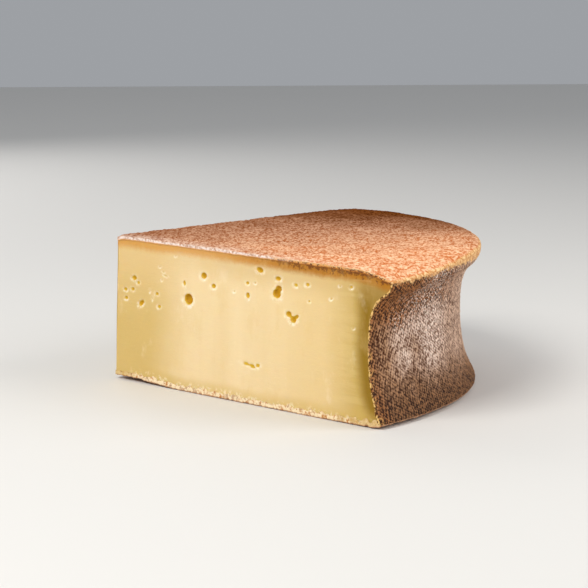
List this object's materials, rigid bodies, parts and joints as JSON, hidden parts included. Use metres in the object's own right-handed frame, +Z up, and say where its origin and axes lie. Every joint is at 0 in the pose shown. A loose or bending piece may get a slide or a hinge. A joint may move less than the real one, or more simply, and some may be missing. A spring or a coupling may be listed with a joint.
{
  "type": "cheese wedge",
  "caption": "Quarter cut from a low round wheel of aged mountain cheese, with a hollow heel, a pressed-cloth rind and small eyes in its cut faces.",
  "frame": {"origin": "on the surface the quarter stands on, under the middle of its bounding box", "axes": "+Z up; +X from the point of the quarter towards its heel; +Y across the quarter, from the front cut to the back cut"},
  "size_m": [0.199, 0.2784, 0.0787],
  "materials": {
    "paste": "smooth, slightly moist and waxy cut cheese, ivory yellow, darker near the rind",
    "rind": "dry, cloth-printed washed rind, orange-pink with a pale bloom on the faces and grey-brown on the heel"
  },
  "bodies": {
    "root": {"cheese_wedge": "paste"}
  },
  "joints": []
}
